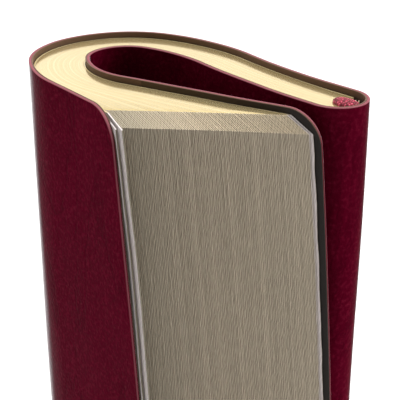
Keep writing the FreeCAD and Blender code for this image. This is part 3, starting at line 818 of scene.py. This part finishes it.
def gauze_material():
    """Open cotton gauze: round threads both ways with darker holes between them."""
    material, tree, shader = new_material("cotton_gauze")
    place = object_coordinates(tree)
    values = {"Vector": place, "Scale": 450.0, "Distortion": 0.4}
    level = node(tree, "ShaderNodeTexWave", values, bands_direction="Z").outputs["Fac"]
    turned = stretched(tree, place, (1.0, 1.0, 1.0), (0.0, 0.0, np.radians(-SPINE_HEADING)))
    values = {"Vector": turned, "Scale": 450.0, "Distortion": 0.4}
    upright = node(tree, "ShaderNodeTexWave", values, bands_direction="Y").outputs["Fac"]
    threads = maths(tree, "MAXIMUM", level, upright)
    tone = mixed(tree, ranged(tree, threads, 0.4, 0.9), (0.30, 0.25, 0.17, 1), (0.76, 0.73, 0.64, 1))
    set_shader(tree, shader, Base_Color=tone)
    bump(tree, shader, threads, 0.6, 0.00006)
    set_shader(tree, shader, Roughness=ranged(tree, threads, 0.0, 1.0, 0.7, 0.9))
    return material


def kraft_material():
    """Kraft paper spine liner: brown, with long fibres and darker flecks."""
    material, tree, shader = new_material("kraft_liner")
    place = object_coordinates(tree)
    fibres = use_group(tree, FIBRE, {"Vector": place})
    tone = mixed(tree, fibres["Streak"], (0.17, 0.115, 0.065, 1), (0.33, 0.235, 0.14, 1))
    fleck = ranged(tree, noise(tree, place, 1700.0, 3.0), 0.62, 0.70, 0.0, 0.6)
    set_shader(tree, shader, Base_Color=mixed(tree, fleck, tone, (0.09, 0.055, 0.03, 1)))
    bump(tree, shader, fibres["Tooth"], 0.25, 0.00003)
    set_shader(tree, shader, Roughness=ranged(tree, fibres["Streak"], 0.0, 1.0, 0.7, 0.85))
    return material


def linen_material():
    """Waxed linen sewing thread: off-white with a slanting twist."""
    material, tree, shader = new_material("linen_thread")
    twist = use_group(tree, YARN, {"Vector": object_coordinates(tree), "Scale": 3500.0})["Twist"]
    tone = mixed(tree, ranged(tree, twist, 0.1, 1.2), (0.45, 0.40, 0.30, 1), (0.84, 0.80, 0.70, 1))
    set_shader(tree, shader, Base_Color=tone)
    bump(tree, shader, twist, 0.5, 0.00004)
    set_shader(tree, shader, Roughness=ranged(tree, twist, 0.0, 1.5, 0.4, 0.6))
    return material


LEATHER_RED = leather_material()
LINING_BROWN = lining_material()
GILT = gilt_material("gilt_edge", 0.76)
WORN_GILT = gilt_material("worn_gilt_edge", 0.3)
TRIMMED = trimmed_material("trimmed_edge", (0.21, 0.174, 0.126, 1), (0.50, 0.416, 0.320, 1), 0.24)
# painted light: a paler copy of the trimmed ends for the clipped corners, which face up into the light
LIT_CLIPPED = trimmed_material("lit_clipped_corner", (0.60, 0.50, 0.35, 1), (0.82, 0.69, 0.49, 1), 0.20)
PAPER = paper_material("book_paper", (0.27, 0.229, 0.168, 1), (0.62, 0.53, 0.41, 1))
ENDPAPER = paper_material("pale_endpaper", (0.50, 0.445, 0.425, 1), (0.76, 0.685, 0.66, 1))


# ---------------------------------------------------------------- covers
def bend_at(piece, body, point, along):
    """Bake a free part's placement into its mesh."""
    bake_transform(piece)


sheets = [
    ("leather", HALF - LEATHER, LEATHER, LEATHER_ROUNDING, LEATHER_RED),
    ("lining", HALF - LEATHER - LINING, LINING, LINING_ROUNDING, LINING_BROWN),
]
for word, inner, thick, round_by, material in sheets:
    wrap = wrapped_sheet("cover_%s_wrap" % word, inner, thick, round_by, material)
    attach(wrap, "bent_book")
    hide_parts("cover_" + word)
    for side, side_word, reach in (1, "front", FRONT_REACH), (-1, "back", BACK_REACH):
        name = "%s_cover_%s_flap" % (side_word, word)
        heading = FRONT_HEADING if side > 0 else BACK_HEADING
        flap = cover_flap(name, side, inner, thick, round_by, reach, material)
        bend_at(flap, side_word + "_cover", *hinge(inner if side > 0 else -(inner + thick), thick, heading))
        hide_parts("%s_cover_%s_edge" % (side_word, word))

# ---------------------------------------------------------------- leaves
for number in range(1, GATHERINGS + 1):
    lowest = (number - 1 - GATHERINGS // 2) * PITCH
    inner = lowest + GAP / 2
    offsets = lowest + (np.arange(LEAVES) + 0.5) * LEAF_PITCH
    point, along = hinge(inner, GATHERING)
    bend, fan = leaf_stack(
        "gathering_%d" % number,
        offsets,
        leg_heading(offsets),
        LEAF_PITCH * LEAF_FILL,
        np.zeros(LEAVES),
        point,
        along,
        LEAF_ROWS,
        [PAPER, GILT, TRIMMED, LIT_CLIPPED],
    )
    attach(bend, "bent_book")
    bend_at(fan, "leaves_%d" % number, point, along)
    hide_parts("gathering_%d_fold" % number)
    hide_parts("gathering_%d_leaves" % number)
# side, word, and for both leaves of the flyleaf: turn in degrees, and how far it ends
# short of the fore edge
flyleaves = [
    (1, "front", [0.35, -0.25], [-1.15, -0.80]),
    (-1, "back", [-0.12, 0.06], [0.10, 0.10]),
]
for side, word, turns, retreats in flyleaves:
    middle = side * (PAPER_HALF + GAP / 2 + FLYLEAF / 2)
    offsets = middle + side * np.array([-FLYLEAF_PARTING, FLYLEAF_PARTING])
    point, along = hinge(middle - FLYLEAF / 2, FLYLEAF)
    bend, fan = leaf_stack(
        word + "_flyleaf",
        offsets,
        leg_heading(offsets) + turns,
        FLYLEAF_SHEET,
        retreats,
        point,
        along,
        FLYLEAF_ROWS,
        [ENDPAPER, WORN_GILT, TRIMMED, ENDPAPER],
    )
    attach(bend, "bent_book")
    bend_at(fan, word + "_flyleaf", point, along)
    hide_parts(word + "_flyleaf_bend")
    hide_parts(word + "_flyleaf_edge")

# ---------------------------------------------------------------- bands and the spine's inside
BAND_CLOTH = band_material()
for name in "headband", "tailband":
    band = woven_band("woven_" + name, name == "headband", BAND_CLOTH)
    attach(band, "bent_book")
    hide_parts(name)
finishes = [("spine_glue", glue_material()), ("spine_mull", gauze_material())]
finishes += [("spine_liner", kraft_material())]
linen = linen_material()
finishes += [("sewing_thread_%d" % number, linen) for number in range(1, THREADS + 1)]
for name, material in finishes:
    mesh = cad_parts[name].data
    mesh.materials.clear()
    mesh.materials.append(material)

# ---------------------------------------------------------------- stage, light and camera
floor_mesh = bpy.data.meshes.new("floor")
span = 3.0
corners = [(-span, -span, 0), (span, -span, 0), (span, span, 0), (-span, span, 0)]
floor_mesh.from_pydata(corners, [], [(0, 1, 2, 3)])
floor = bpy.data.objects.new("floor", floor_mesh)
bpy.context.scene.collection.objects.link(floor)
floor_material, floor_tree, floor_shader = new_material("studio_floor")
set_shader(floor_tree, floor_shader, Base_Color=(0.9, 0.9, 0.9, 1), Roughness=1.0)
floor_mesh.materials.append(floor_material)

world = bpy.data.worlds.new("studio")
world.use_nodes = True
sky = world.node_tree
where = sky.nodes.new("ShaderNodeTexCoord").outputs["Generated"]
away = node(sky, "ShaderNodeSeparateXYZ", {0: where}).outputs["Y"]
sky.links.new(ranged(sky, away, -0.7, 0.5, 0.12, 1.20), sky.nodes["Background"].inputs["Strength"])
sky.nodes["Background"].inputs["Color"].default_value = (1, 1, 1, 1)
bpy.context.scene.world = world


def soft_light(name, place, aim, size, power):
    """A square area light at a place, aimed at a point."""
    lamp = bpy.data.lights.new(name, "AREA")
    lamp.shape = "SQUARE"
    lamp.size = size
    lamp.energy = power
    holder = bpy.data.objects.new(name, lamp)
    bpy.context.scene.collection.objects.link(holder)
    holder.location = place
    holder.rotation_euler = (Vector(aim) - Vector(place)).to_track_quat("-Z", "Y").to_euler()


soft_light("top_light", (0.0, 0.3, 1.2), (0, 0, 0.1), 0.9, 15)
soft_light("right_light", (0.9, -0.1, 0.5), (0, 0, 0.1), 0.4, 4)

camera_data = bpy.data.cameras.new("camera")
camera_data.lens = 98.17
camera_data.sensor_width = 36.0
camera_data.clip_start = 0.01
camera = bpy.data.objects.new("camera", camera_data)
camera.location = (1.289 * MM, -138.232 * MM, 185.54 * MM)
camera.rotation_euler = (np.radians(90 - 24.0), 0, 0)
bpy.context.scene.collection.objects.link(camera)
bpy.context.scene.camera = camera
bpy.context.scene.view_settings.view_transform = "Standard"
